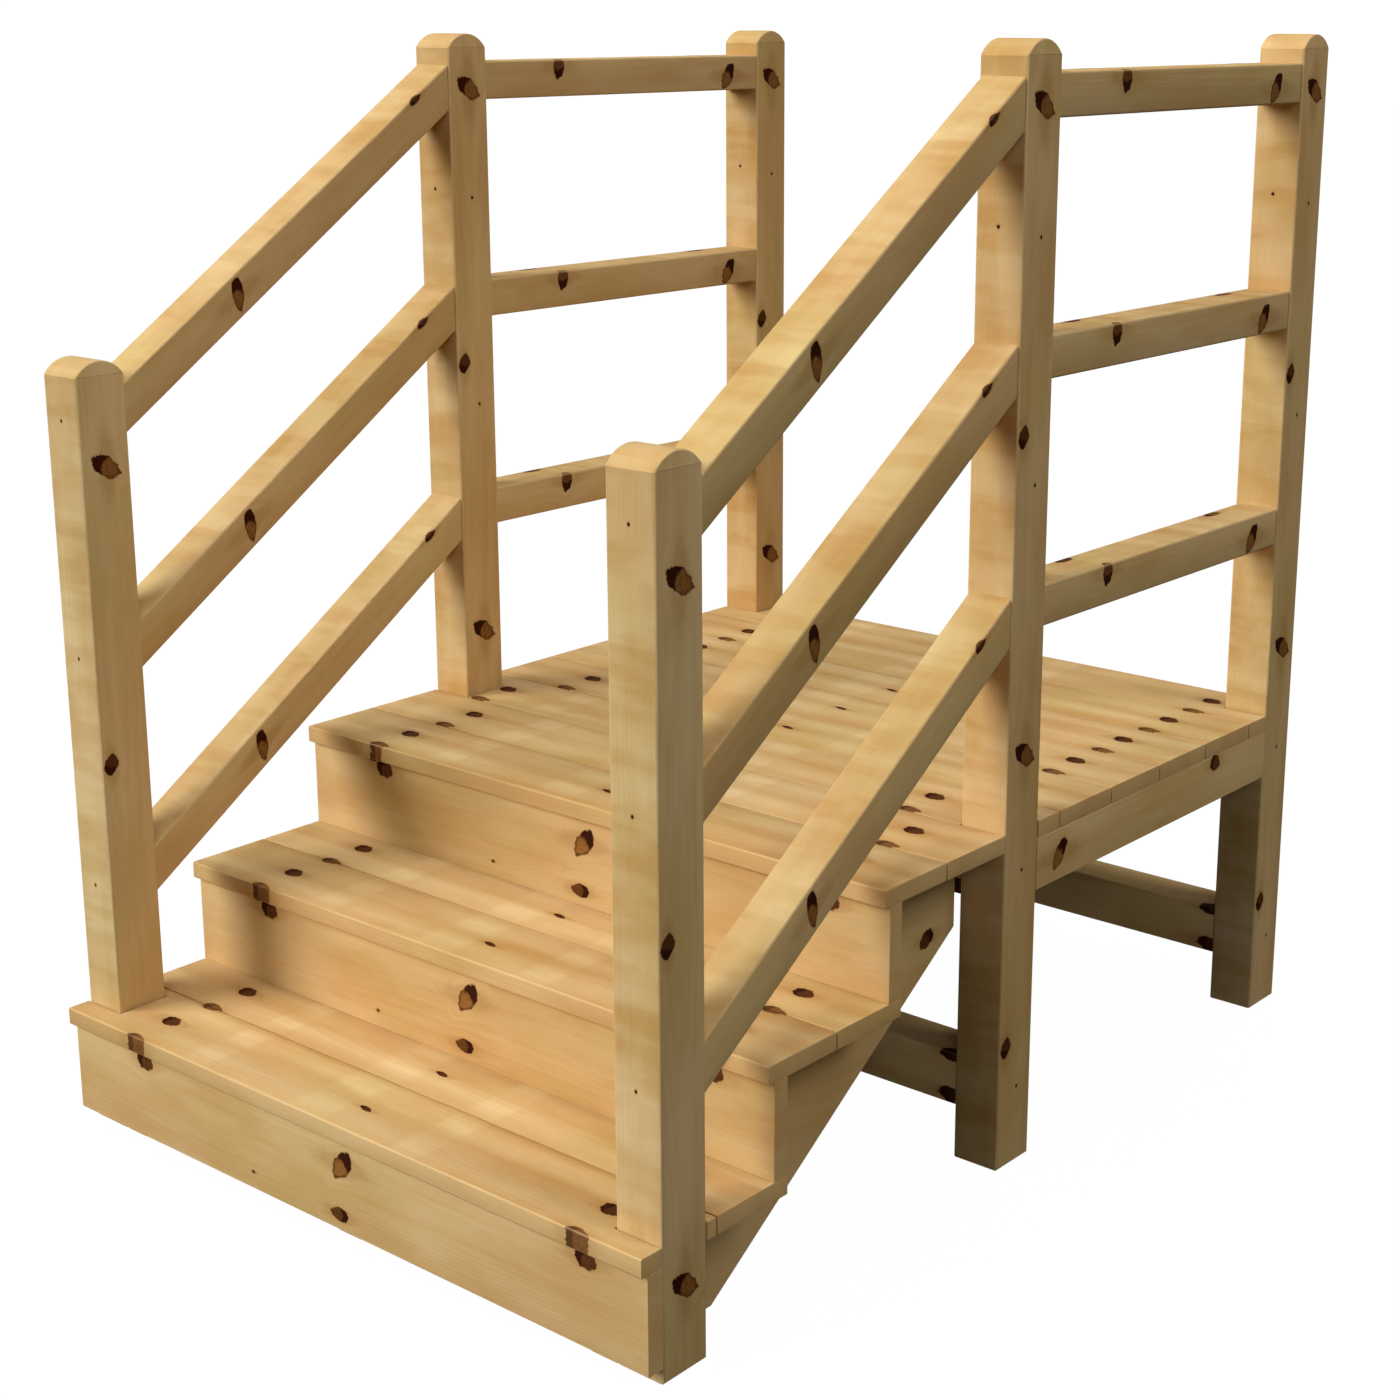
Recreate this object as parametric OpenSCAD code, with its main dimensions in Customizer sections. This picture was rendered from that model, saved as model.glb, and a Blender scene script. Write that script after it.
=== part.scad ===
// Wooden deck stairs: two treads up to a raised platform, with three rails down each side.
// Origin: ground level, middle of the footprint. X runs across the stairs, +Y climbs.

/* [Overall] */
// Width across the outer faces of the posts
overall_width = 1220; // [900:5:1800]

/* [Posts] */
// Post size across the stairs
post_width = 80; // [60:1:110]
// Post size along the stairs
post_depth = 86; // [60:1:110]
// Height of the two front posts to the top of the rounded end
front_post_height = 1219; // [1000:1:1500]
// Height of the four platform posts to the top of the rounded end
back_post_height = 1681; // [1400:1:2100]
// Rise of the rounded post end
cap_rise = 23; // [8:1:36]

/* [Boards] */
// Width of a tread, riser or platform board
board_width = 145; // [115:1:175]
// Thickness of a tread, riser or platform board
board_thick = 28; // [20:1:36]
// Gap between neighbouring boards
board_gap = 3; // [1:0.5:6]
// Overhang of each tread past the riser below it
nosing = 12; // [4:1:30]
// Gap left between a notched board and the post it goes round
notch_gap = 2; // [1:0.5:6]
// Height of the lowest riser above the ground
foot_gap = 24; // [5:1:40]

/* [Frame] */
// Thickness of the three stringers
stringer_thick = 48; // [36:1:60]
// Length of stringer that rests on the ground
stringer_foot = 187; // [120:1:200]
// Gap between the stringers and the middle posts
stringer_gap = 13; // [6:1:30]
// Thickness of the platform joists
joist_thick = 48; // [36:1:60]
// Depth of the platform joists
joist_height = 83; // [60:1:120]
// Size of the two low beams along the stairs
beam_depth = 78; // [50:1:85]
// Height of the two low beams
beam_height = 84; // [60:1:110]
// Height of the low beams above the ground
beam_lift = 87; // [40:1:120]

/* [Rails] */
// Rail thickness across the stairs
rail_width = 74; // [40:1:80]
// Rail depth, square to its length
rail_height = 63; // [45:1:80]
// Top of the highest rail above the platform
guard_height = 1093; // [900:1:1100]
// Height from one rail to the next
rail_pitch = 365; // [320:1:380]
// Drop from the level rails to the sloped rails at the middle posts
rail_step = 5; // [0:1:20]
// Fall of the sloped rails from the middle posts to the front posts
rail_fall = 451; // [400:1:480]

/* [Hidden] */
$fn = 96;
half_width = overall_width / 2;
inner_x = half_width - post_width;
board_pitch = board_width + board_gap;
tread_depth = 2 * board_width + board_gap;
going = tread_depth - board_thick - nosing;
rise = board_width + board_thick;

// heights of the walking surfaces
tread_1_top = foot_gap + rise;
tread_2_top = tread_1_top + rise;
deck_top = tread_2_top + rise;
frame_top = deck_top - board_thick;

// positions along the stairs
platform_boards = 8;
deck_length = platform_boards * board_pitch - board_gap;
overall_length = 2 * going + deck_length;
front_edge = -overall_length / 2;
front_post_y = front_edge + nosing + board_thick;
deck_front = front_edge + 2 * going;
middle_post_y = deck_front + 2 * board_pitch;
rear_edge = overall_length / 2;
rear_post_y = rear_edge - post_depth;

// rails
rail_top = deck_top + guard_height;
rail_inset = (post_width - rail_width) / 2;
slope_run = middle_post_y - front_post_y - post_depth;
slope_length = sqrt(slope_run * slope_run + rail_fall * rail_fall);
slope_cut = rail_height * slope_length / slope_run;

post_color = [0.86, 0.69, 0.43];
board_color = [0.90, 0.74, 0.48];
frame_color = [0.78, 0.61, 0.37];
rail_color = [0.88, 0.71, 0.45];

// a profile drawn in the plane along the stairs, given thickness from x upward
module across(x, thick) {
    translate([x, 0, 0])
        rotate([90, 0, 90])
            linear_extrude(thick)
                children();
}

// square post with a rounded end, its front face at y
module post(x, y, height) {
    radius = (post_depth * post_depth / 4 + cap_rise * cap_rise) / (2 * cap_rise);
    shoulder = height - cap_rise;
    across(x, post_width)
        translate([y, 0])
            union() {
                square([post_depth, shoulder]);
                intersection() {
                    translate([post_depth / 2, height - radius])
                        circle(radius);
                    translate([0, shoulder - 1])
                        square([post_depth, cap_rise + 1]);
                }
            }
}

// stringer with a sawtooth top and a straight sloping underside
module stringer(x) {
    step_1 = front_edge + tread_depth;
    step_2 = step_1 + going;
    heel = front_post_y + stringer_foot;
    end = middle_post_y - stringer_gap;
    across(x, stringer_thick)
        polygon([
            [front_post_y, 0],
            [heel, 0],
            [end, (end - heel) * rise / going],
            [end, frame_top],
            [step_2, frame_top],
            [step_2, tread_2_top - board_thick],
            [step_1, tread_2_top - board_thick],
            [step_1, tread_1_top - board_thick],
            [front_post_y, tread_1_top - board_thick]
        ]);
}

// riser board standing on the level given by foot
module riser(y, foot) {
    translate([-half_width, y, foot])
        cube([overall_width, board_thick, board_width]);
}

// full width board lying with its front edge at y
module board(y, top) {
    translate([-half_width, y, top - board_thick])
        cube([overall_width, board_width, board_thick]);
}

// full width board cut round a pair of posts whose front faces are at post_y
module notched_board(y, top, post_y) {
    difference() {
        board(y, top);
        for (side = [0, 1])
            mirror([side, 0, 0])
                translate([inner_x - notch_gap, post_y - notch_gap, top - 2 * board_thick])
                    cube([2 * post_width, post_depth + 2 * notch_gap, 3 * board_thick]);
    }
}

// beam or joist running across between the posts
module cross_piece(y, depth, foot, height) {
    translate([-inner_x, y, foot])
        cube([2 * inner_x, depth, height]);
}

// joist running along the stairs
module long_joist(x, y_start, y_end) {
    translate([x, y_start, frame_top - joist_height])
        cube([joist_thick, y_end - y_start, joist_height]);
}

// sloped rail, top edge at height top where it meets the middle post
module stair_rail(x, top) {
    start = front_post_y + post_depth;
    across(x, rail_width)
        polygon([
            [start, top - rail_fall - slope_cut],
            [middle_post_y, top - slope_cut],
            [middle_post_y, top],
            [start, top - rail_fall]
        ]);
}

// level rail between the middle and rear posts
module deck_rail(x, top) {
    start = middle_post_y + post_depth;
    translate([x, start, top - rail_height])
        cube([rail_width, rear_post_y - start, rail_height]);
}

left_rail_x = -half_width + rail_inset;
right_rail_x = inner_x + rail_inset;
stair_rail_top = rail_top - rail_step;

module front_post_left() color(post_color) post(-half_width, front_post_y, front_post_height);
module front_post_right() color(post_color) post(inner_x, front_post_y, front_post_height);
module middle_post_left() color(post_color) post(-half_width, middle_post_y, back_post_height);
module middle_post_right() color(post_color) post(inner_x, middle_post_y, back_post_height);
module rear_post_left() color(post_color) post(-half_width, rear_post_y, back_post_height);
module rear_post_right() color(post_color) post(inner_x, rear_post_y, back_post_height);

module stringer_left() color(frame_color) stringer(-inner_x);
module stringer_middle() color(frame_color) stringer(-stringer_thick / 2);
module stringer_right() color(frame_color) stringer(inner_x - stringer_thick);

module riser_1() color(board_color) riser(front_edge + nosing, foot_gap);
module riser_2() color(board_color) riser(front_edge + going + nosing, tread_1_top);
module riser_3() color(board_color) riser(deck_front + nosing, tread_2_top);

module tread_1_front_board() color(board_color) notched_board(front_edge, tread_1_top, front_post_y);
module tread_1_back_board() color(board_color)
    notched_board(front_edge + board_pitch, tread_1_top, front_post_y);
module tread_2_front_board() color(board_color) board(front_edge + going, tread_2_top);
module tread_2_back_board() color(board_color) board(front_edge + going + board_pitch, tread_2_top);

module platform_board_1() color(board_color) board(deck_front, deck_top);
module platform_board_2() color(board_color) board(deck_front + board_pitch, deck_top);
module platform_board_3() color(board_color)
    notched_board(deck_front + 2 * board_pitch, deck_top, middle_post_y);
module platform_board_4() color(board_color) board(deck_front + 3 * board_pitch, deck_top);
module platform_board_5() color(board_color) board(deck_front + 4 * board_pitch, deck_top);
module platform_board_6() color(board_color) board(deck_front + 5 * board_pitch, deck_top);
module platform_board_7() color(board_color) board(deck_front + 6 * board_pitch, deck_top);
module platform_board_8() color(board_color)
    notched_board(deck_front + 7 * board_pitch, deck_top, rear_post_y);

module header_joist() color(frame_color)
    cross_piece(middle_post_y, joist_thick, frame_top - joist_height, joist_height);
module rear_joist() color(frame_color)
    cross_piece(rear_edge - joist_thick, joist_thick, frame_top - joist_height, joist_height);
module side_joist_left() color(frame_color)
    long_joist(-half_width, middle_post_y + post_depth, rear_post_y);
module side_joist_right() color(frame_color)
    long_joist(half_width - joist_thick, middle_post_y + post_depth, rear_post_y);
module middle_joist() color(frame_color)
    long_joist(-joist_thick / 2, middle_post_y + joist_thick, rear_edge - joist_thick);

module low_beam_middle() color(frame_color)
    cross_piece(middle_post_y, beam_depth, beam_lift, beam_height);
module low_beam_rear() color(frame_color)
    cross_piece(rear_post_y, beam_depth, beam_lift, beam_height);

module stair_rail_top_left() color(rail_color) stair_rail(left_rail_x, stair_rail_top);
module stair_rail_mid_left() color(rail_color) stair_rail(left_rail_x, stair_rail_top - rail_pitch);
module stair_rail_low_left() color(rail_color) stair_rail(left_rail_x, stair_rail_top - 2 * rail_pitch);
module stair_rail_top_right() color(rail_color) stair_rail(right_rail_x, stair_rail_top);
module stair_rail_mid_right() color(rail_color) stair_rail(right_rail_x, stair_rail_top - rail_pitch);
module stair_rail_low_right() color(rail_color) stair_rail(right_rail_x, stair_rail_top - 2 * rail_pitch);

module deck_rail_top_left() color(rail_color) deck_rail(left_rail_x, rail_top);
module deck_rail_mid_left() color(rail_color) deck_rail(left_rail_x, rail_top - rail_pitch);
module deck_rail_low_left() color(rail_color) deck_rail(left_rail_x, rail_top - 2 * rail_pitch);
module deck_rail_top_right() color(rail_color) deck_rail(right_rail_x, rail_top);
module deck_rail_mid_right() color(rail_color) deck_rail(right_rail_x, rail_top - rail_pitch);
module deck_rail_low_right() color(rail_color) deck_rail(right_rail_x, rail_top - 2 * rail_pitch);

front_post_left();
front_post_right();
middle_post_left();
middle_post_right();
rear_post_left();
rear_post_right();
stringer_left();
stringer_middle();
stringer_right();
riser_1();
riser_2();
riser_3();
tread_1_front_board();
tread_1_back_board();
tread_2_front_board();
tread_2_back_board();
platform_board_1();
platform_board_2();
platform_board_3();
platform_board_4();
platform_board_5();
platform_board_6();
platform_board_7();
platform_board_8();
header_joist();
rear_joist();
side_joist_left();
side_joist_right();
middle_joist();
low_beam_middle();
low_beam_rear();
stair_rail_top_left();
stair_rail_mid_left();
stair_rail_low_left();
stair_rail_top_right();
stair_rail_mid_right();
stair_rail_low_right();
deck_rail_top_left();
deck_rail_mid_left();
deck_rail_low_left();
deck_rail_top_right();
deck_rail_mid_right();
deck_rail_low_right();
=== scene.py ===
# Wooden deck stairs in knotty pine: posts, rails, stringers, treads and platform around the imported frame
import bmesh
import bpy
import math
import numpy as np
from mathutils import Matrix, Vector


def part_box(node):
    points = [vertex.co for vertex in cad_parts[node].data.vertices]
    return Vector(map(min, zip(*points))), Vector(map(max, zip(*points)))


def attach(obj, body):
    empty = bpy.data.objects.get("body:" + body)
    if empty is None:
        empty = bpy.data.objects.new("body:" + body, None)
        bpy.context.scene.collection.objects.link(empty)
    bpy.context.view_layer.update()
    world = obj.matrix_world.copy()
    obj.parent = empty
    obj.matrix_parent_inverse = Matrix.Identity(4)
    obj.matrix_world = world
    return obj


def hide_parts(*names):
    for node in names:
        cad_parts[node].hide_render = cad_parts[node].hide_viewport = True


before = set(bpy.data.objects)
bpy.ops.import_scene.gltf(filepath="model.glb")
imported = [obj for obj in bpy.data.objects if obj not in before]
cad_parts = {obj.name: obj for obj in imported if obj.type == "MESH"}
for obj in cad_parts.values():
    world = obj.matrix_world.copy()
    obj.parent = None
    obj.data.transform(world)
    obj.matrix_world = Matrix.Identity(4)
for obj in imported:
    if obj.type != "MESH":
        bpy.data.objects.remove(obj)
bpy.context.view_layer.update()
print("frame loaded,", len(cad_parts), "timbers")

axisX, axisY, axisZ = np.eye(3)
dice = np.random.default_rng(41)  # small differences from one timber to the next


def hexColour(code):
    # sRGB hex to linear: ((c + 0.055) / 1.055) ^ 2.4 above 0.04, else c / 12.92, then an opaque fourth value
    parts = [int(code[i:i + 2], 16) / 255 for i in (1, 3, 5)]
    return tuple(((c + 0.055) / 1.055) ** 2.4 if c > 0.04 else c / 12.92 for c in parts) + (1.0,)


def addNode(tree, kind, inputs=None, **settings):
    # one shader node: settings first, then each input is linked if it is a socket, else set
    node = tree.nodes.new(kind)
    for key, value in settings.items():
        setattr(node, key, value)
    for key, value in (inputs or {}).items():
        if isinstance(value, bpy.types.NodeSocket):
            tree.links.new(value, node.inputs[key])
        else:
            node.inputs[key].default_value = value
    return node


def calc(tree, operation, a, b=0.0, c=0.0):
    # one step of arithmetic on numbers; multiply-add is a x b + c
    return addNode(tree, "ShaderNodeMath", {0: a, 1: b, 2: c}, operation=operation).outputs[0]


def vector(tree, operation, a, b=(0.0, 0.0, 0.0), out=0):
    # one step of arithmetic on vectors; out=1 gives the plain number, such as a length
    return addNode(tree, "ShaderNodeVectorMath", {0: a, 1: b}, operation=operation).outputs[out]


def ease(tree, value, start, end, low=0.0, high=1.0):
    # smooth step of value, from low at start to high at end
    return addNode(tree, "ShaderNodeMapRange", {"Value": value, "From Min": start, "From Max": end,
                   "To Min": low, "To Max": high}, interpolation_type="SMOOTHSTEP").outputs[0]


def split(tree, value):
    # a vector as its three numbers
    return addNode(tree, "ShaderNodeSeparateXYZ", {0: value}).outputs


def join(tree, x, y, z):
    # three numbers as a vector
    return addNode(tree, "ShaderNodeCombineXYZ", {0: x, 1: y, 2: z}).outputs[0]


def noise(tree, where, scale, detail=2.0, rough=0.5, out="Fac"):
    # soft random values at where x scale
    return addNode(tree, "ShaderNodeTexNoise", {"Vector": where, "Scale": scale, "Detail": detail,
                   "Roughness": rough}).outputs[out]


def drawnNoise(tree, where, stretch, detail=3.0, rough=0.55, out="Fac"):
    # noise at where x stretch, so that a pattern can run longer one way than the other
    return noise(tree, vector(tree, "MULTIPLY", where, stretch), 1.0, detail, rough, out)


def blend(tree, fac, a, b, mode="MIX", clamp=True):
    # colour a towards colour b by fac
    node = addNode(tree, "ShaderNodeMix", {0: fac, 6: a, 7: b}, data_type="RGBA", blend_type=mode,
                   clamp_factor=clamp)
    return node.outputs[2]


def newGroup(name, ins, outs):
    # an empty node group with named sockets; gives the tree, its inputs and its output node
    tree = bpy.data.node_groups.new(name, "ShaderNodeTree")
    kinds = dict(f="NodeSocketFloat", v="NodeSocketVector", c="NodeSocketColor")
    for label, kind, value in ins:
        socket = tree.interface.new_socket(label, in_out="INPUT", socket_type=kinds[kind])
        socket.default_value = value
    for label, kind in outs:
        tree.interface.new_socket(label, in_out="OUTPUT", socket_type=kinds[kind])
    return tree, tree.nodes.new("NodeGroupInput").outputs, tree.nodes.new("NodeGroupOutput")


def useGroup(tree, group, inputs):
    # a node group placed in a tree with its own values
    return addNode(tree, "ShaderNodeGroup", inputs, node_tree=group).outputs


def giveOut(tree, result, values):
    # each value linked to the group output of that name
    for label, value in values.items():
        tree.links.new(value, result.inputs[label])


knotLook = dict(
    raggedScale=85.0, ragged=(0.7, 0.7, 0.0),        # how fine and how deep the torn outline is
    point=0.5,                                       # how far the far end is drawn to a point
    edge=(1.06, 0.92),                               # depth where the outline begins and is full
    rim=(0.62, 0.92), rimTone=0.62,                  # depth where the dark rim begins and is full
    blunt=(-0.12, -0.42), bluntCurve=-0.25,          # the dark end, along the knot, and how it curves
    heartShift=0.3, ringCount=24.0, ringTone=0.07,   # the knot's own rings, round a middle off centre
    haloShape=(0.5, 0.95, 0.95), halo=(1.8, 0.6),    # the stain is drawn out along the grain
    lean=(2.8, 0.9), leanBy=0.55)                    # how far off and how much the grain swerves round it


def buildKnotGroup():
    # depth = length of (distance from the centre, turned, / reach + ragged): below 1 is inside the knot;
    # y grows by 1 + point x x^2 where x is above 0, and dark = the largest of rim, blunt end and rings
    look = knotLook
    tree, given, result = newGroup("PineKnot",
        [("Grain", "v", (0, 0, 0)), ("Ragged", "v", (0, 0, 0)), ("Centre", "v", (0, 0, 0)),
         ("Reach", "v", (0.02, 0.015, 0.1)), ("Tilt", "f", 0.0), ("Gloom", "f", 0.3), ("Strength", "f", 1.0)],
        [("Knot", "f"), ("Dark", "f"), ("Halo", "f"), ("Lean", "f")])
    away = vector(tree, "SUBTRACT", given["Grain"], given["Centre"])
    turned = addNode(tree, "ShaderNodeVectorRotate", {"Vector": away, "Angle": given["Tilt"]},
                     rotation_type="Z_AXIS", invert=True).outputs[0]
    scaled = vector(tree, "ADD", vector(tree, "DIVIDE", turned, given["Reach"]), given["Ragged"])
    x, y, z = split(tree, scaled)[:3]
    ahead = calc(tree, "POWER", calc(tree, "MAXIMUM", x, 0.0), 2.0)
    y = calc(tree, "MULTIPLY", y, calc(tree, "MULTIPLY_ADD", ahead, look["point"], 1.0))
    depth = vector(tree, "LENGTH", join(tree, x, y, z), out=1)
    mask = calc(tree, "MULTIPLY", ease(tree, depth, *look["edge"]), given["Strength"])

    rim = ease(tree, depth, *look["rim"], 0.0, look["rimTone"])
    behind = calc(tree, "MULTIPLY_ADD", calc(tree, "ABSOLUTE", y), look["bluntCurve"], x)
    inner = join(tree, calc(tree, "SUBTRACT", x, look["heartShift"]), y, 0.0)
    turns = calc(tree, "MULTIPLY", vector(tree, "LENGTH", inner, out=1), look["ringCount"])
    heartTone = calc(tree, "MULTIPLY_ADD", calc(tree, "SINE", turns), look["ringTone"], given["Gloom"])
    dark = calc(tree, "MAXIMUM", calc(tree, "MAXIMUM", rim, ease(tree, behind, *look["blunt"])), heartTone)

    spread = vector(tree, "MULTIPLY", vector(tree, "DIVIDE", away, given["Reach"]), look["haloShape"])
    spread = vector(tree, "LENGTH", vector(tree, "ADD", spread, given["Ragged"]), out=1)
    near = calc(tree, "MULTIPLY", ease(tree, depth, *look["lean"]), look["leanBy"])
    giveOut(tree, result, {"Knot": mask, "Dark": calc(tree, "MULTIPLY", dark, given["Strength"]),
            "Halo": calc(tree, "MULTIPLY", ease(tree, spread, *look["halo"]), given["Strength"]),
            "Lean": calc(tree, "MULTIPLY", split(tree, away)[1], near)})
    return tree


grainLook = dict(
    slow=(1.1, 7.0, 7.0), wander=0.05,                 # how the rings wander, metres
    early=(0.05, 0.85), late=(0.88, 1.0),              # share of a ring where late wood builds up and stops
    fibre=(7.0, 420.0, 420.0), streak=(1.6, 55.0, 55.0), streakShare=0.6,
    blotch=(3.4, 11.0, 11.0), ringHeight=0.35)


def buildGrainGroup():
    # ring = fraction of (distance from the pith, with wander, / ring width); fibres, streaks and blotches are
    # noise drawn out along the timber
    look = grainLook
    tree, given, result = newGroup("PineGrain",
        [("Grain", "v", (0, 0, 0)), ("Lot", "v", (0, 0, 0)), ("Lean", "f", 0.0), ("Pith", "v", (0, 0.05, 0.1)),
         ("Ring Width", "f", 0.0045)],
        [("Late Wood", "f"), ("Fibre", "f"), ("Blotch", "f"), ("Height", "f")])
    u, v, w = split(tree, given["Grain"])[:3]
    v = calc(tree, "SUBTRACT", v, given["Lean"])
    flowed = vector(tree, "ADD", join(tree, u, v, w), given["Lot"])
    slow = vector(tree, "SUBTRACT", drawnNoise(tree, flowed, look["slow"], 2.0, 0.45, "Color"), (0.5, 0.5, 0.5))
    slow = vector(tree, "MULTIPLY", slow, (0.0, look["wander"], look["wander"]))
    fromPith = vector(tree, "SUBTRACT", join(tree, 0.0, v, w), given["Pith"])
    fromPith = vector(tree, "MULTIPLY", vector(tree, "ADD", fromPith, slow), (0.0, 1.0, 1.0))
    rings = calc(tree, "DIVIDE", vector(tree, "LENGTH", fromPith, out=1), given["Ring Width"])
    ring = calc(tree, "FRACT", rings)
    late = calc(tree, "SUBTRACT", ease(tree, ring, *look["early"]), ease(tree, ring, *look["late"]))
    fibre = drawnNoise(tree, flowed, look["fibre"], 3.0, 0.6)
    streak = drawnNoise(tree, flowed, look["streak"])
    fine = calc(tree, "MULTIPLY_ADD", streak, look["streakShare"],
                calc(tree, "MULTIPLY", fibre, 1.0 - look["streakShare"]))
    giveOut(tree, result, {"Late Wood": late, "Fibre": fine, "Blotch": drawnNoise(tree, flowed, look["blotch"]),
            "Height": calc(tree, "MULTIPLY_ADD", late, look["ringHeight"], fibre)})
    return tree


bandLook = dict(period=0.465,  # length of one run of cross bands, metres
                stops=[(0.0, 0.80), (0.05, 0.98), (0.13, 0.80), (0.22, 0.58), (0.33, 0.28), (0.45, 0.22),
                       (0.52, 0.45), (0.62, 0.92), (0.67, 0.55), (0.73, 0.85), (0.80, 0.45), (0.86, 0.22),
                       (0.97, 0.08), (0.99, 0.3)])


def buildBandGroup():
    # tone along the timber: a ramp read at fraction((length - start) / period), smooth but for one sharp step
    tree, given, result = newGroup("CrossBands",
        [("Length", "f", 0.0), ("Start", "f", 0.0), ("Period", "f", bandLook["period"])], [("Tone", "f")])
    gone = calc(tree, "SUBTRACT", given["Length"], given["Start"])
    place = calc(tree, "FRACT", calc(tree, "DIVIDE", gone, given["Period"]))
    ramp = addNode(tree, "ShaderNodeValToRGB", {"Fac": place})
    marks = ramp.color_ramp.elements
    while len(marks) < len(bandLook["stops"]):
        marks.new(0.5)
    for mark, (at, tone) in zip(marks, bandLook["stops"]):
        mark.position = at
        mark.color = (tone, tone, tone, 1.0)
    giveOut(tree, result, {"Tone": ramp.outputs["Color"]})
    return tree


def buildPatchGroup():
    # patch = smooth step down of (distance from the centre / reach), flat over most of the reach
    tree, given, result = newGroup("PalePatch",
        [("Length", "f", 0.0), ("Centre", "f", 0.0), ("Reach", "f", 0.03)], [("Patch", "f")])
    away = calc(tree, "ABSOLUTE", calc(tree, "SUBTRACT", given["Length"], given["Centre"]))
    giveOut(tree, result, {"Patch": ease(tree, calc(tree, "DIVIDE", away, given["Reach"]), 1.3, 0.7)})
    return tree


def buildEdgeWearAndHighlightGroup():
    # pale edge line = rounded edge x noise x amount, so that it comes and goes; it is partly worn wood and partly
    # a painted highlight on the rounded edge
    tree, given, result = newGroup("EdgeWearAndHighlight",
        [("Grain", "v", (0, 0, 0)), ("Ease", "f", 0.0), ("Amount", "f", 0.6)], [("Wear And Highlight", "f")])
    rough = drawnNoise(tree, given["Grain"], (9.0, 60.0, 60.0), 3.0, 0.6)
    wearAndHighlight = calc(tree, "MULTIPLY", given["Ease"], ease(tree, rough, 0.3, 0.62))
    giveOut(tree, result, {"Wear And Highlight": calc(tree, "MULTIPLY", wearAndHighlight, given["Amount"])})
    return tree


knotGroup, grainGroup = buildKnotGroup(), buildGrainGroup()
bandGroup, patchGroup, edgeWearAndHighlightGroup = buildBandGroup(), buildPatchGroup(), buildEdgeWearAndHighlightGroup()
print("pine groups built")

# one finish for all timbers; a timber's own dictionary changes what differs
pineLook = dict(
    pale="#dcba84", amber="#c59858", late="#b5864a",      # sapwood, warm wood, late wood lines
    halo="#a8783c", heart="#9a6731", fleck="#6b421d", bark="#3a1608",   # round a knot, its middle, specks, rim
    # the pale edge colour below is partly worn wood and partly a painted highlight along rounded edges
    wornAndHighlit="#e4c694", endGrain="#c39c62", weather=(0.93, 1.0, 0.88, 1.0),
    wrapAlong=(-0.2, 0.735), wrapAcross=None,             # the knots repeat from low to high, metres
    pith=(0.0, 0.05, 0.1), ringWidth=0.0045, ringTone=0.18,
    fibre=(0.35, 0.65), fibreTone=0.2, flankFibre=-0.12,  # fibres are weaker on the flanks
    blotch=(0.32, 0.68), blotchTone=0.55, lotTone=0.02,
    mottle=(30.0, 7.0, 7.0), mottleTone=(-0.16, 0.22),    # cross mottle on the flanks of banded timbers
    bands=0.0, bandStart=0.0, bandRest=0.6,
    stripes=None, patches=(), patchTone=-0.4, patchStripe=-0.7,
    # the last amount below sets how strongly the pale edge line shows: partly wear, partly painted highlight
    weatherAmount=0.6, cutAmount=0.35, stainPower=2.5, stain=0.38, wearAndHighlight=0.4,
    roughness=0.56, fibreRough=0.2, knotRough=0.08, gloss=0.05,
    bump=0.35, bumpDepth=0.0006, knotSink=-0.8, pins=None)


def attribute(tree, label):
    return addNode(tree, "ShaderNodeAttribute", attribute_name=label).outputs


def gatherKnots(tree, places, ragged):
    # knots over each other: the largest mask, dark and halo win, and the swerves of the grain add up
    found = []
    for where, centre, reach, tilt, gloom, strength in places:
        out = useGroup(tree, knotGroup, {"Grain": where, "Ragged": ragged, "Centre": centre, "Reach": reach,
                       "Tilt": math.radians(tilt), "Gloom": gloom, "Strength": strength})
        found.append((out["Knot"], calc(tree, "MULTIPLY", out["Dark"], out["Knot"]), out["Halo"], out["Lean"]))
    total = found[0]
    for one in found[1:]:
        total = [calc(tree, how, a, b) for how, a, b in zip(("MAXIMUM", "MAXIMUM", "MAXIMUM", "ADD"), total, one)]
    return total


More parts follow.
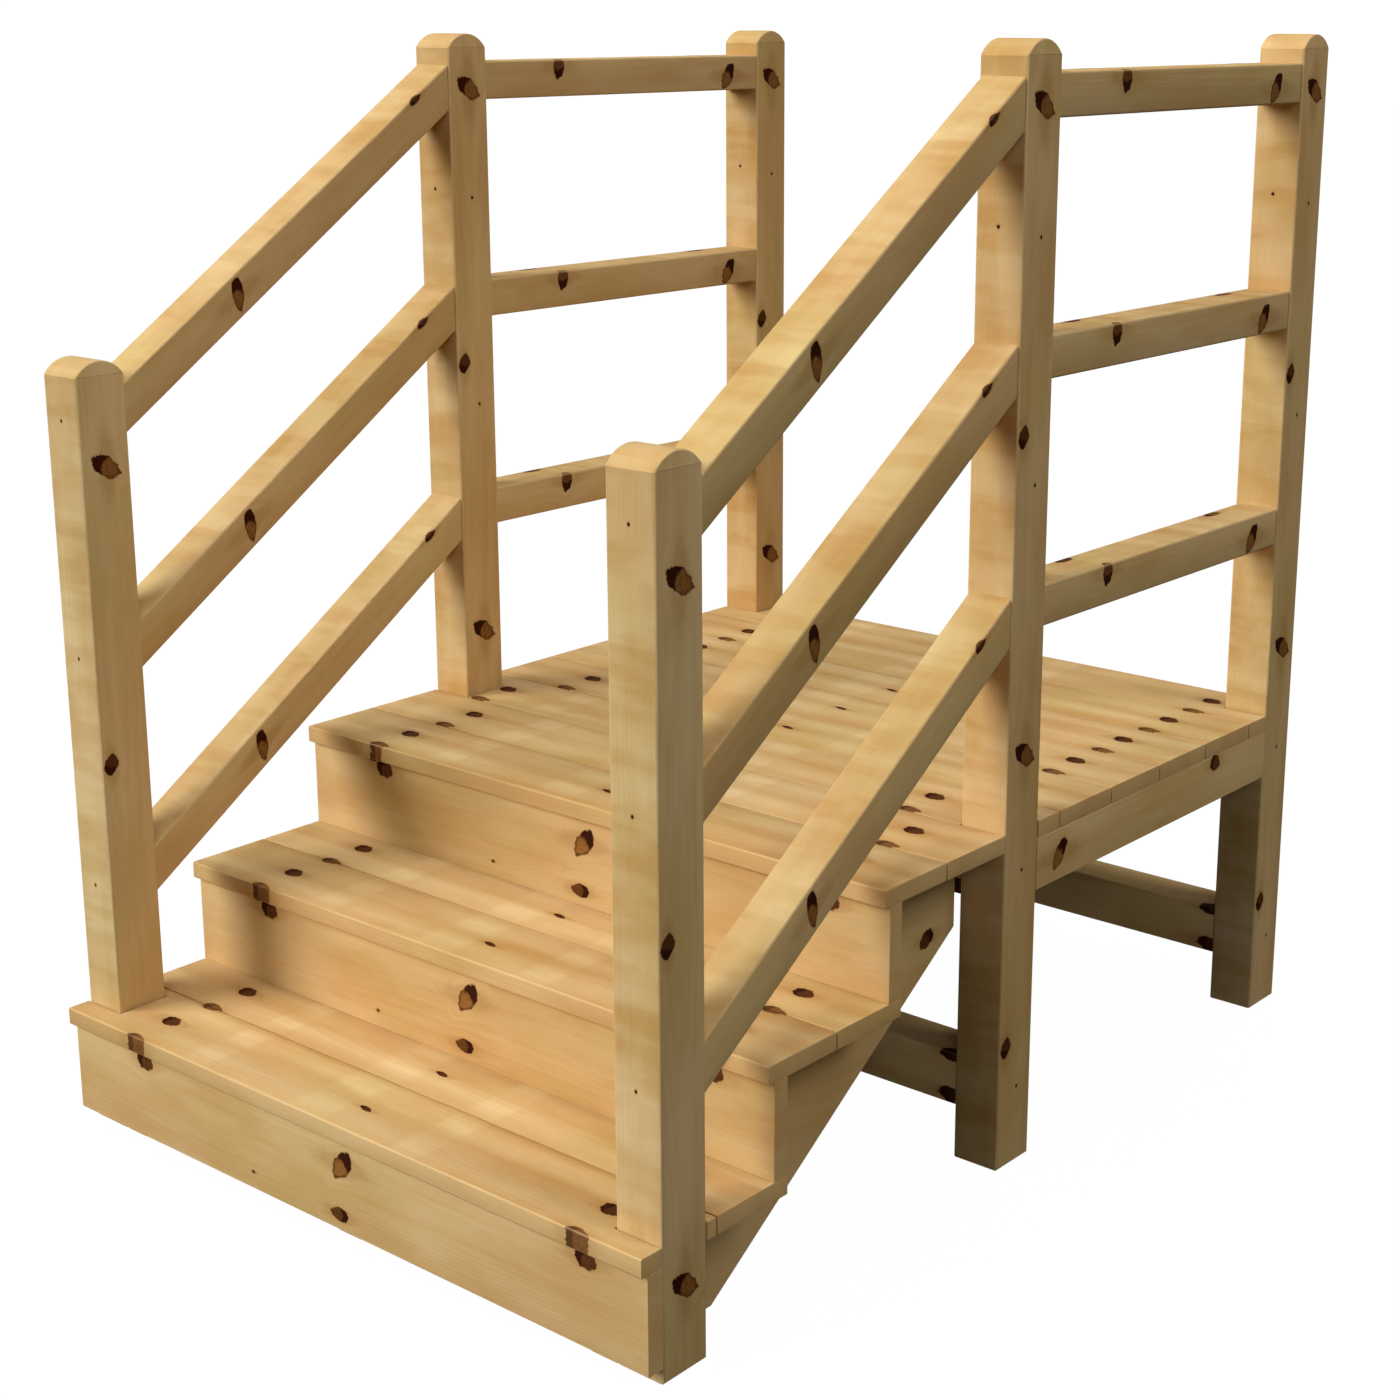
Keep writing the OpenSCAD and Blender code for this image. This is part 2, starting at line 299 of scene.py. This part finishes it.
def warmTone(tree, look, wood, grain, lot, knotU, cut, flank):
    # warm = fibres + blotches + mottle + stripes + (rest - band) x bands + lot - patches; 0 pale, 1 amber
    u, v = split(tree, grain)[:2]
    fibreTone = calc(tree, "MULTIPLY_ADD", flank, look["flankFibre"], look["fibreTone"])
    fibre = calc(tree, "MULTIPLY", ease(tree, wood["Fibre"], *look["fibre"]), fibreTone)
    warm = calc(tree, "MULTIPLY_ADD", ease(tree, wood["Blotch"], *look["blotch"]), look["blotchTone"], fibre)
    if look["bands"]:
        mottle = drawnNoise(tree, vector(tree, "ADD", grain, lot), look["mottle"], 2.0, 0.5)
        mottle = ease(tree, mottle, 0.4, 0.62, *look["mottleTone"])
        warm = calc(tree, "MULTIPLY_ADD", mottle, flank, warm)
        tone = useGroup(tree, bandGroup, {"Length": u, "Start": look["bandStart"],
                        "Period": bandLook["period"]})["Tone"]
        pull = calc(tree, "SUBTRACT", look["bandRest"], tone)
        warm = calc(tree, "MULTIPLY_ADD", pull, calc(tree, "MULTIPLY", flank, look["bands"]), warm)
    warm = calc(tree, "MULTIPLY_ADD", split(tree, lot)[2], look["lotTone"], warm)
    if look["stripes"]:
        # lengthwise stripes on the broad face: half of 1 + cosine of 2 pi (across - start) / period
        start, period, amount = look["stripes"]
        turn = calc(tree, "MULTIPLY", calc(tree, "SUBTRACT", v, start), 2 * math.pi / period)
        stripe = calc(tree, "MULTIPLY_ADD", calc(tree, "COSINE", turn), 0.5, 0.5)
        flat = calc(tree, "SUBTRACT", 1.0, calc(tree, "MAXIMUM", cut, flank))
        warm = calc(tree, "MULTIPLY_ADD", calc(tree, "SUBTRACT", stripe, 0.5),
                    calc(tree, "MULTIPLY", flat, amount), warm)
        between = calc(tree, "MULTIPLY", flat, calc(tree, "MULTIPLY_ADD", stripe, look["patchStripe"], 1.0))
        for centre, reach in look["patches"]:
            patch = useGroup(tree, patchGroup, {"Length": knotU, "Centre": centre, "Reach": reach})["Patch"]
            warm = calc(tree, "MULTIPLY_ADD", calc(tree, "MULTIPLY", patch, between), look["patchTone"], warm)
    return warm


def makePine(name, **own):
    # colour = pale to amber by warmth, then late wood, weather, end grain, stain, knots, and a pale edge line
    # that is partly wear and partly painted highlight
    look = {**pineLook, **own}
    material = bpy.data.materials.new(name)
    material.use_nodes = True
    tree = material.node_tree
    grain, lot = attribute(tree, "grain")["Vector"], attribute(tree, "lot")["Vector"]
    cut, flank, edge = (attribute(tree, label)["Fac"] for label in ("cut", "flank", "ease"))
    u, v, w = split(tree, grain)[:3]
    low, high = look["wrapAlong"]
    knotU, knotV = calc(tree, "WRAP", u, high, low), v
    if look["wrapAcross"]:
        low, high = look["wrapAcross"]
        knotV = calc(tree, "WRAP", v, high, low)
    local = join(tree, knotU, knotV, w)
    places = [(local, *one) for one in look["knots"]]
    if look["pins"]:
        start, period, knot = look["pins"]  # a pin knot that repeats along the timber
        pinU = calc(tree, "WRAP", calc(tree, "SUBTRACT", u, start), period / 2, -period / 2)
        places.append((join(tree, pinU, v, w), *knot))
    ragged = noise(tree, local, knotLook["raggedScale"], 3.0, 0.6, "Color")
    ragged = vector(tree, "MULTIPLY", vector(tree, "SUBTRACT", ragged, (0.5, 0.5, 0.5)), knotLook["ragged"])
    knot, dark, halo, lean = gatherKnots(tree, places, ragged)
    wood = useGroup(tree, grainGroup, {"Grain": grain, "Lot": lot, "Lean": lean, "Pith": look["pith"],
                    "Ring Width": look["ringWidth"]})

    warm = warmTone(tree, look, wood, grain, lot, knotU, cut, flank)
    colour = blend(tree, warm, hexColour(look["pale"]), hexColour(look["amber"]), clamp=False)
    lateLine = calc(tree, "MULTIPLY", wood["Late Wood"], calc(tree, "MULTIPLY", wood["Fibre"], look["ringTone"]))
    colour = blend(tree, lateLine, colour, hexColour(look["late"]))
    weather = noise(tree, vector(tree, "ADD", grain, lot), 3.2, 3.0, 0.6)
    weather = ease(tree, weather, 0.42, 0.66, 0.0, look["weatherAmount"])
    colour = blend(tree, weather, colour, look["weather"], "MULTIPLY")
    colour = blend(tree, calc(tree, "MULTIPLY", cut, look["cutAmount"]), colour, hexColour(look["endGrain"]))
    stain = calc(tree, "MULTIPLY", calc(tree, "POWER", halo, look["stainPower"]), look["stain"])
    colour = blend(tree, stain, colour, hexColour(look["halo"]))
    fleck = ease(tree, noise(tree, grain, 170.0, 2.0, 0.5), 0.4, 0.7, 0.0, 0.5)
    heart = blend(tree, fleck, hexColour(look["heart"]), hexColour(look["fleck"]))
    colour = blend(tree, knot, colour, blend(tree, dark, heart, hexColour(look["bark"])))
    # pale line on rounded edges: partly worn wood, partly a painted highlight
    wearAndHighlight = useGroup(tree, edgeWearAndHighlightGroup, {"Grain": grain, "Ease": edge, "Amount": look["wearAndHighlight"]})["Wear And Highlight"]
    colour = blend(tree, wearAndHighlight, colour, hexColour(look["wornAndHighlit"]))

    rough = calc(tree, "MULTIPLY_ADD", wood["Fibre"], look["fibreRough"], look["roughness"])
    rough = calc(tree, "MULTIPLY_ADD", knot, look["knotRough"], rough)
    height = calc(tree, "MULTIPLY_ADD", dark, look["knotSink"], wood["Height"])
    bump = addNode(tree, "ShaderNodeBump", {"Height": height, "Strength": look["bump"],
                   "Distance": look["bumpDepth"]})
    shader = tree.nodes["Principled BSDF"]
    shader.inputs["Specular IOR Level"].default_value = look["gloss"]
    tree.links.new(colour, shader.inputs["Base Color"])
    tree.links.new(rough, shader.inputs["Roughness"])
    tree.links.new(bump.outputs[0], shader.inputs["Normal"])
    return material


timberLook = dict(roundSteps=4, capSteps=36,            # steps of an edge's quarter round and of a post's top
                  wearAndHighlightFrom=0.0012, wearAndHighlightOver=0.002,      # the pale edge line, partly wear and partly painted highlight, shows only where the round is larger
                  lotSpread=40.0, toneSpread=4.0,       # how far apart the grain and the tone of two timbers are
                  smoothAngle=32.0)


def cadFace(node, facing):
    # the flat side of a CAD node that looks along facing, as one ordered loop of corners
    shape = bmesh.new()
    shape.from_mesh(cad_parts[node].data)
    bmesh.ops.remove_doubles(shape, verts=shape.verts, dist=1e-5)
    bmesh.ops.dissolve_limit(shape, angle_limit=math.radians(0.4), verts=shape.verts, edges=shape.edges)
    side = max(shape.faces, key=lambda face: face.normal.dot(facing.tolist()) * face.calc_area())
    loop = np.array([corner.co[:] for corner in side.verts])
    shape.free()
    return loop


def postOutline(node):
    # the side of a post: a square foot, and a top arc through both shoulders and the highest point,
    # z = top - radius + square root of (radius^2 - (y - middle)^2), radius = (half^2 + rise^2) / (2 rise)
    low, high = (np.array(corner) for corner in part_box(node))
    points = np.array([v.co[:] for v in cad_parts[node].data.vertices])
    shoulder = points[points[:, 1] < low[1] + 1e-5][:, 2].max()
    half, rise = (high[1] - low[1]) / 2, high[2] - shoulder
    radius = (half ** 2 + rise ** 2) / (2 * rise)
    sweep = math.asin(half / radius) * np.linspace(1, -1, timberLook["capSteps"] + 1)
    y = (low[1] + high[1]) / 2 + radius * np.sin(sweep)
    z = high[2] - radius + radius * np.cos(sweep)
    y, z = np.append([low[1], high[1]], y), np.append([low[2], low[2]], z)
    return np.stack([np.full_like(y, high[0]), y, z], 1)


def roundBy(longEdge, cutEdge, front=None, longFrom=0.4):
    # quarter round of each outline edge: longEdge on edges over longFrom metres, cutEdge on sawn ends,
    # and front on long edges that look towards -Y, where it is given
    def pick(normals, lengths):
        size = np.where(lengths > longFrom, longEdge, cutEdge)
        return np.where((normals[:, 1] < -0.9) & (lengths > longFrom), front, size) if front else size
    return pick


def carryOutline(loop, facing, thick, edgeRound):
    # ring(t) = corner + (1 - cos t) x mitre, set back by depth x (1 - sin t) from each face:
    # the outline carried through the thickness, with every edge turned over by a quarter round
    along = np.roll(loop, -1, 0) - loop
    length = np.linalg.norm(along, axis=1, keepdims=True)
    after = np.cross(along / length, facing)
    before = np.roll(after, 1, 0)
    roundAfter = edgeRound(after, length[:, 0])[:, None]
    roundBefore = np.roll(roundAfter, 1, 0)
    cosine = (after * before).sum(1, keepdims=True)
    spread = np.maximum(1 - cosine ** 2, 1e-6)
    mitre = -((roundBefore - cosine * roundAfter) * before + (roundAfter - cosine * roundBefore) * after) / spread
    smooth = -(roundBefore + roundAfter) / 2 * (before + after) / (1 + cosine + 1e-9)
    mitre = np.where(spread > 0.02, mitre, smooth)  # nearly straight corners share one inset

    depth, steps = roundAfter.max(), timberLook["roundSteps"]
    t = np.linspace(0, math.pi / 2, steps + 1)
    inset = np.concatenate([(1 - np.cos(t))[::-1], 1 - np.cos(t)])
    height = np.concatenate([-thick + depth * (1 - np.sin(t))[::-1], -depth * (1 - np.sin(t))])
    points = loop[None] + inset[:, None, None] * mitre[None] + height[:, None, None] * facing
    ringEase = np.concatenate([np.sin(2 * t)[::-1], np.sin(2 * t)])
    # how strongly each timber's rounded edges take the pale line, which is partly wear and partly painted
    # highlight
    wornAndHighlit = np.clip((depth - timberLook["wearAndHighlightFrom"]) / timberLook["wearAndHighlightOver"], 0, 1)

    rings, count = len(inset), len(loop)
    i, j = np.meshgrid(np.arange(rings - 1), np.arange(count), indexing="ij")
    k = (j + 1) % count
    quads = np.stack([i * count + j, i * count + k, (i + 1) * count + k, (i + 1) * count + j], -1).reshape(-1, 4)
    caps = [(np.arange(count) + (rings - 1) * count).tolist(), np.arange(count)[::-1].tolist()]
    corner = cosine[:, 0] < 0.97
    flatSide = (i == steps) & (corner[j] | corner[k])  # the middle band stays flat, but for a post's arc
    shaded = np.append(~flatSide.reshape(-1), [False, False])
    return points.reshape(-1, 3), quads.tolist() + caps, np.repeat(ringEase, count) * wornAndHighlit, shaded


def makeTimber(node, facing, outline, edgeRound, origin, along, across, material, shift=(0.0, 0.0, 0.0)):
    # one finished timber that stands for its CAD node;
    # grain = (point - origin) measured along, across and through the timber, + shift
    low, high = (np.array(corner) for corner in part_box(node))
    thick = float(abs((high - low) @ facing))
    points, faces, easeValue, shaded = carryOutline(outline, facing, thick, edgeRound)
    mesh = bpy.data.meshes.new(node + "_pine")
    mesh.from_pydata(points.tolist(), [], faces)
    along, across = np.array(along, float), np.array(across, float)
    local = points - np.array(origin, float)
    through = np.abs(local @ np.cross(along, across))
    grain = np.stack([local @ along, local @ across, through], 1) + np.array(shift)
    normals = np.zeros(len(faces) * 3, np.float32)
    mesh.polygons.foreach_get("normal", normals)
    normals = normals.reshape(-1, 3)
    lot = np.array([*dice.uniform(0, timberLook["lotSpread"], 2), dice.uniform(-1, 1) * timberLook["toneSpread"]])
    layers = [("grain", "FLOAT_VECTOR", "POINT", "vector", grain),
              ("lot", "FLOAT_VECTOR", "POINT", "vector", np.tile(lot, (len(points), 1))),
              ("ease", "FLOAT", "POINT", "value", easeValue),
              ("cut", "FLOAT", "FACE", "value", (np.abs(normals @ along) > 0.8) * 1.0),
              ("flank", "FLOAT", "FACE", "value", (np.abs(normals @ across) > 0.6) * 1.0)]
    for label, kind, domain, field, values in layers:
        layer = mesh.attributes.new(label, kind, domain)
        layer.data.foreach_set(field, np.ascontiguousarray(values, np.float32).ravel())
    mesh.polygons.foreach_set("use_smooth", shaded)
    mesh.set_sharp_from_angle(angle=math.radians(timberLook["smoothAngle"]))
    mesh.materials.append(material)
    mesh.update()
    piece = bpy.data.objects.new(node + "_pine", mesh)
    bpy.context.scene.collection.objects.link(piece)
    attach(piece, "root")
    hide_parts(node)


# a knot is its centre and reach as (along, across, through) in metres, its tilt in degrees,
# how dark its middle is, and its strength
almond = ((0.125, 0.044, 0.04), (0.0295, 0.0158, 0.3), 124.0, 0.2, 1.0)
edgeKnot = ((0.602, 0.016, 0.0), (0.018, 0.0125, 0.02), 15.0, 0.8, 1.0)
backKnot = ((0.350, 0.060, 0.08), (0.017, 0.013, 0.03), 20.0, 0.2, 1.0)
postLook = dict(
    edge=0.0038, endEdge=0.0024, longFrom=0.5, shift=dict(front=0.0, middle=-0.532, rear=-0.532),
    tall=dict(bands=0.5, bandStart=0.515,
              knots=[almond, edgeKnot, backKnot,
                     ((-0.055, 0.045, 0.0), (0.003, 0.003, 0.006), 0.0, 0.9, 1.0),
                     ((-0.040, 0.0, 0.042), (0.003, 0.006, 0.003), 0.0, 0.9, 1.0),
                     ((0.528, 0.048, 0.0), (0.003, 0.003, 0.006), 0.0, 0.9, 1.0)]),
    front=dict(bands=0.5, bandStart=0.515, pale="#dcbe8a", amber="#c79d60",
               knots=[almond, edgeKnot, backKnot],
               pins=(0.035, 0.365, ((0.0, 0.0, 0.042), (0.0026, 0.006, 0.0026), 0.0, 0.9, 1.0))))
postPine = makePine("postPine", **postLook["tall"])
frontPine = makePine("frontPine", **postLook["front"])
for name in ("front", "middle", "rear"):
    for side in ("left", "right"):
        node = f"{name}_post_{side}"
        low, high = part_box(node)
        makeTimber(node, axisX, postOutline(node),
                   roundBy(postLook["edge"], postLook["endEdge"], longFrom=postLook["longFrom"]),
                   (high[0], low[1], low[2]), axisZ, axisY, frontPine if name == "front" else postPine,
                   (postLook["shift"][name], 0.0, 0.0))
print("posts made")

stringerLook = dict(
    edge=0.0012,
    pine=dict(wrapAlong=(-0.1, 0.835), knots=[((0.678, 0.130, 0.0), (0.020, 0.013, 0.1), 150.0, 0.8, 1.0)]))
stringerPine = makePine("stringerPine", **stringerLook["pine"])
for side in ("left", "middle", "right"):
    node = f"stringer_{side}"
    low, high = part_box(node)
    makeTimber(node, axisX, cadFace(node, axisX), roundBy(stringerLook["edge"], stringerLook["edge"]),
               (high[0], low[1], high[2]), axisY, -axisZ, stringerPine)
print("stringers made")

riserLook = dict(
    edge=0.0012, endEdge=0.0008,
    pine=dict(wrapAlong=(-0.1, 0.835), amber="#c6975a",
              knots=[((0.177, 0.014, 0.0), (0.021, 0.016, 0.1), 20.0, 0.75, 1.0),
                     ((0.150, 0.001, 0.0), (0.013, 0.006, 0.1), 0.0, 0.8, 1.0),
                     ((0.632, 0.042, 0.0), (0.029, 0.016, 0.1), 129.0, 0.0, 1.0),
                     ((0.623, 0.121, 0.0), (0.019, 0.012, 0.1), 180.0, 0.68, 1.0),
                     ((0.620, 0.001, 0.0), (0.011, 0.004, 0.1), 0.0, 0.5, 1.0),
                     ((0.430, 0.118, 0.0), (0.004, 0.003, 0.01), 0.0, 0.5, 1.0)]))
riserPine = makePine("riserPine", **riserLook["pine"])
for number in (1, 2, 3):
    node = f"riser_{number}"
    low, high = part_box(node)
    makeTimber(node, -axisY, cadFace(node, -axisY), roundBy(riserLook["edge"], riserLook["endEdge"]),
               (low[0], low[1], high[2]), axisX, -axisZ, riserPine)
print("risers made")

boardLook = dict(
    edge=0.0010, nose=0.0030,   # the front edge of each step is rounder
    treadShift=-0.008,          # how far the treads' knots stand across, metres
    thirdShift=0.068,           # how far the third platform board's knots stand along
    pine=dict(wrapAlong=(-0.1, 0.835), wrapAcross=(0.02, 0.168), amber="#c6975a",
              stripes=(0.066, 0.074, 0.42), patches=((0.310, 0.026), (0.567, 0.038), (0.772, 0.028)),
              knots=[((0.168, 0.065, 0.0), (0.0190, 0.0135, 0.1), 10.0, 0.80, 1.0),
                     ((0.172, 0.138, 0.0), (0.021, 0.0105, 0.1), 0.0, 0.55, 0.93),
                     ((0.630, 0.074, 0.0), (0.014, 0.0055, 0.03), 12.0, 0.85, 1.0)]))
boardPine = makePine("boardPine", **boardLook["pine"])
treads = [f"tread_{step}_{row}_board" for step in (1, 2) for row in ("front", "back")]
noses = ("tread_1_front_board", "tread_2_front_board", "platform_board_1")
for node in treads + [f"platform_board_{number}" for number in range(1, 9)]:
    low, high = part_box(node)
    shift = (boardLook["thirdShift"] if node == "platform_board_3" else 0.0,
             boardLook["treadShift"] if node in treads else 0.0, 0.0)
    edgeRound = roundBy(boardLook["edge"], boardLook["edge"], boardLook["nose"] if node in noses else None, 0.5)
    makeTimber(node, axisZ, cadFace(node, axisZ), edgeRound,
               (low[0], high[1], high[2]), axisX, -axisY, boardPine, shift)
print("boards made")

joistLook = dict(
    edge=0.0015, endEdge=0.0006,
    pine=dict(wrapAlong=(-0.1, 0.835), knots=[((0.063, 0.042, 0.0), (0.029, 0.0145, 0.1), 125.0, 0.0, 1.0),
                                              ((0.540, 0.014, 0.0), (0.017, 0.014, 0.1), 20.0, 0.7, 1.0)]))
joistPine = makePine("joistPine", **joistLook["pine"])
for node in ("side_joist_left", "side_joist_right", "middle_joist"):
    low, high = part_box(node)
    makeTimber(node, axisX, cadFace(node, axisX), roundBy(joistLook["edge"], joistLook["endEdge"]),
               (high[0], low[1], high[2]), axisY, -axisZ, joistPine)

beamLook = dict(
    edge=0.0018, endEdge=0.0006,
    pine=dict(wrapAlong=(-0.3, 0.635), knots=[((0.122, 0.004, 0.0), (0.026, 0.010, 0.02), 0.0, 0.9, 1.0),
                                              ((0.120, 0.070, 0.0), (0.027, 0.013, 0.03), 0.0, 0.9, 1.0),
                                              ((-0.150, 0.040, 0.078), (0.024, 0.015, 0.03), 60.0, 0.1, 1.0)]))
beamPine = makePine("beamPine", **beamLook["pine"])
for node in ("header_joist", "rear_joist", "low_beam_middle", "low_beam_rear"):
    low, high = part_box(node)
    makeTimber(node, -axisY, cadFace(node, -axisY), roundBy(beamLook["edge"], beamLook["endEdge"]),
               (low[0], low[1], high[2]), axisX, -axisZ, beamPine)
print("joists and beams made")

railLook = dict(
    edge=0.0038, endEdge=0.0006,
    level=dict(wrapAlong=(-0.1, 0.835), bands=0.5, bandStart=0.0, pale="#d7b680", amber="#c2965a",
               knots=[((0.630, 0.038, 0.0), (0.0265, 0.0145, 0.05), 122.0, 0.1, 1.0),
                      ((0.177, 0.012, 0.0), (0.022, 0.0135, 0.012), -90.0, 0.6, 1.0),
                      ((0.155, 0.000, 0.066), (0.020, 0.006, 0.009), 0.0, 0.8, 1.0),
                      ((0.605, 0.000, 0.062), (0.022, 0.006, 0.009), 0.0, 0.5, 1.0),
                      ((0.420, 0.030, 0.074), (0.021, 0.013, 0.02), 60.0, 0.1, 1.0)]),
    sloped=dict(wrapAlong=(-0.1, 0.835), bands=0.5, bandStart=0.2, pale="#d7b680", amber="#c2965a",
                knots=[((0.246, 0.0295, 0.0), (0.0295, 0.0112, 0.01), 116.0, 0.2, 1.0),
                       ((0.721, 0.0045, 0.0), (0.014, 0.0065, 0.007), 0.0, 0.85, 1.0),
                       ((0.480, 0.030, 0.074), (0.021, 0.013, 0.02), 60.0, 0.1, 1.0)]))
railPine = makePine("railPine", **railLook["level"])
slopePine = makePine("slopePine", **railLook["sloped"])
railRound = roundBy(railLook["edge"], railLook["endEdge"])
for side in ("left", "right"):
    for level in ("top", "mid", "low"):
        node = f"deck_rail_{level}_{side}"
        low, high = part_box(node)
        makeTimber(node, axisX, cadFace(node, axisX), railRound,
                   (high[0], low[1], high[2]), axisY, -axisZ, railPine)
        # a sloped rail's grain runs from the top corner of its lower end to that of its upper end
        node = f"stair_rail_{level}_{side}"
        low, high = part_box(node)
        loop = cadFace(node, axisX)
        start = loop[np.abs(loop[:, 1] - low[1]) < 1e-4]
        start = start[start[:, 2].argmax()]
        slope = (np.array(high) - start) / np.linalg.norm(np.array(high) - start)
        makeTimber(node, axisX, loop, railRound, start, slope, -np.cross(axisX, slope), slopePine)
print("rails made")

stageLook = dict(
    floorSize=80.0, floorGlow=0.985, floorTone=0.03, backdrop=1.05, skyStrength=0.035,
    lamps=dict(      # towards the lamp, strength, spread in degrees
        keyLight=((-0.515, -0.746, 0.422), 3.08, 36.0), topLight=((0.0, -0.02, 1.0), 1.08, 26.0),
        rightLight=((0.676, 0.156, 0.72), 0.93, 30.0), frontFill=((0.628, -0.649, 0.431), 0.34, 20.0),
        backFill=((-0.25, 0.85, 0.45), 0.42, 90.0)))


def makeFloor():
    # a square of floorSize that shows as clean white with a faint contact shadow:
    # glow + matt to the camera, and matt alone to all other light, so little light comes back up
    half = stageLook["floorSize"] / 2
    mesh = bpy.data.meshes.new("paleFloor")
    mesh.from_pydata([(-half, -half, 0), (half, -half, 0), (half, half, 0), (-half, half, 0)], [], [(0, 1, 2, 3)])
    floor = bpy.data.objects.new("paleFloor", mesh)
    bpy.context.scene.collection.objects.link(floor)
    paint = bpy.data.materials.new("paleFloor")
    paint.use_nodes = True
    tree = paint.node_tree
    tree.nodes.clear()
    tone = stageLook["floorTone"]
    glow = addNode(tree, "ShaderNodeEmission", {"Color": (1, 1, 1, 1), "Strength": stageLook["floorGlow"]})
    matt = addNode(tree, "ShaderNodeBsdfDiffuse", {"Color": (tone, tone, tone, 1)})
    lit = addNode(tree, "ShaderNodeAddShader", {0: glow.outputs[0], 1: matt.outputs[0]})
    path = addNode(tree, "ShaderNodeLightPath")
    choice = addNode(tree, "ShaderNodeMixShader", {0: path.outputs["Is Camera Ray"], 1: matt.outputs[0],
                     2: lit.outputs[0]})
    addNode(tree, "ShaderNodeOutputMaterial", {"Surface": choice.outputs[0]})
    mesh.materials.append(paint)


def makeRoom():
    # a white backdrop to the camera, and a dim even sky to all other light
    world = bpy.data.worlds.new("softRoom")
    bpy.context.scene.world = world
    world.use_nodes = True
    tree = world.node_tree
    tree.nodes.clear()
    seen = addNode(tree, "ShaderNodeBackground", {"Color": (1, 1, 1, 1), "Strength": stageLook["backdrop"]})
    shed = addNode(tree, "ShaderNodeBackground", {"Color": (1, 1, 1, 1), "Strength": stageLook["skyStrength"]})
    path = addNode(tree, "ShaderNodeLightPath")
    choice = addNode(tree, "ShaderNodeMixShader", {0: path.outputs["Is Camera Ray"], 1: shed.outputs[0],
                     2: seen.outputs[0]})
    addNode(tree, "ShaderNodeOutputWorld", {"Surface": choice.outputs[0]})


def makeLamps():
    # soft key from front left, others from above, right and behind; each lamp's own Z looks towards it
    for name, (towards, strength, spread) in stageLook["lamps"].items():
        lamp = bpy.data.lights.new(name, "SUN")
        lamp.energy = strength
        lamp.angle = math.radians(spread)
        sun = bpy.data.objects.new(name, lamp)
        bpy.context.scene.collection.objects.link(sun)
        sun.rotation_euler = Vector(towards).to_track_quat("Z", "Y").to_euler()


cameraLook = dict(place=(2.43538, -2.81826, 1.71522), heading=0.696234, pitch=-0.256216,
                  focal=2372.32, centre=(747.58, 633.56), size=1400.0, sensor=36.0)


def makeCamera():
    # turned by heading about Z and pitched down; lens = focal / size x sensor, shift = centre / size from a half
    look = cameraLook
    camera = bpy.data.cameras.new("camera")
    camera.sensor_width = look["sensor"]
    camera.lens = look["focal"] / look["size"] * look["sensor"]
    camera.shift_x = 0.5 - look["centre"][0] / look["size"]
    camera.shift_y = look["centre"][1] / look["size"] - 0.5
    camera.clip_end = 200.0
    viewer = bpy.data.objects.new("camera", camera)
    bpy.context.scene.collection.objects.link(viewer)
    a, e = look["heading"], look["pitch"]
    ahead = Vector((-math.sin(a) * math.cos(e), math.cos(a) * math.cos(e), math.sin(e)))
    right = Vector((math.cos(a), math.sin(a), 0.0))
    turn = Matrix((right, right.cross(ahead), -ahead)).transposed().to_4x4()
    viewer.matrix_world = Matrix.Translation(look["place"]) @ turn
    bpy.context.scene.camera = viewer


makeFloor()
makeRoom()
makeLamps()
makeCamera()
bpy.context.scene.view_settings.view_transform = "Standard"
print("stage and camera made")
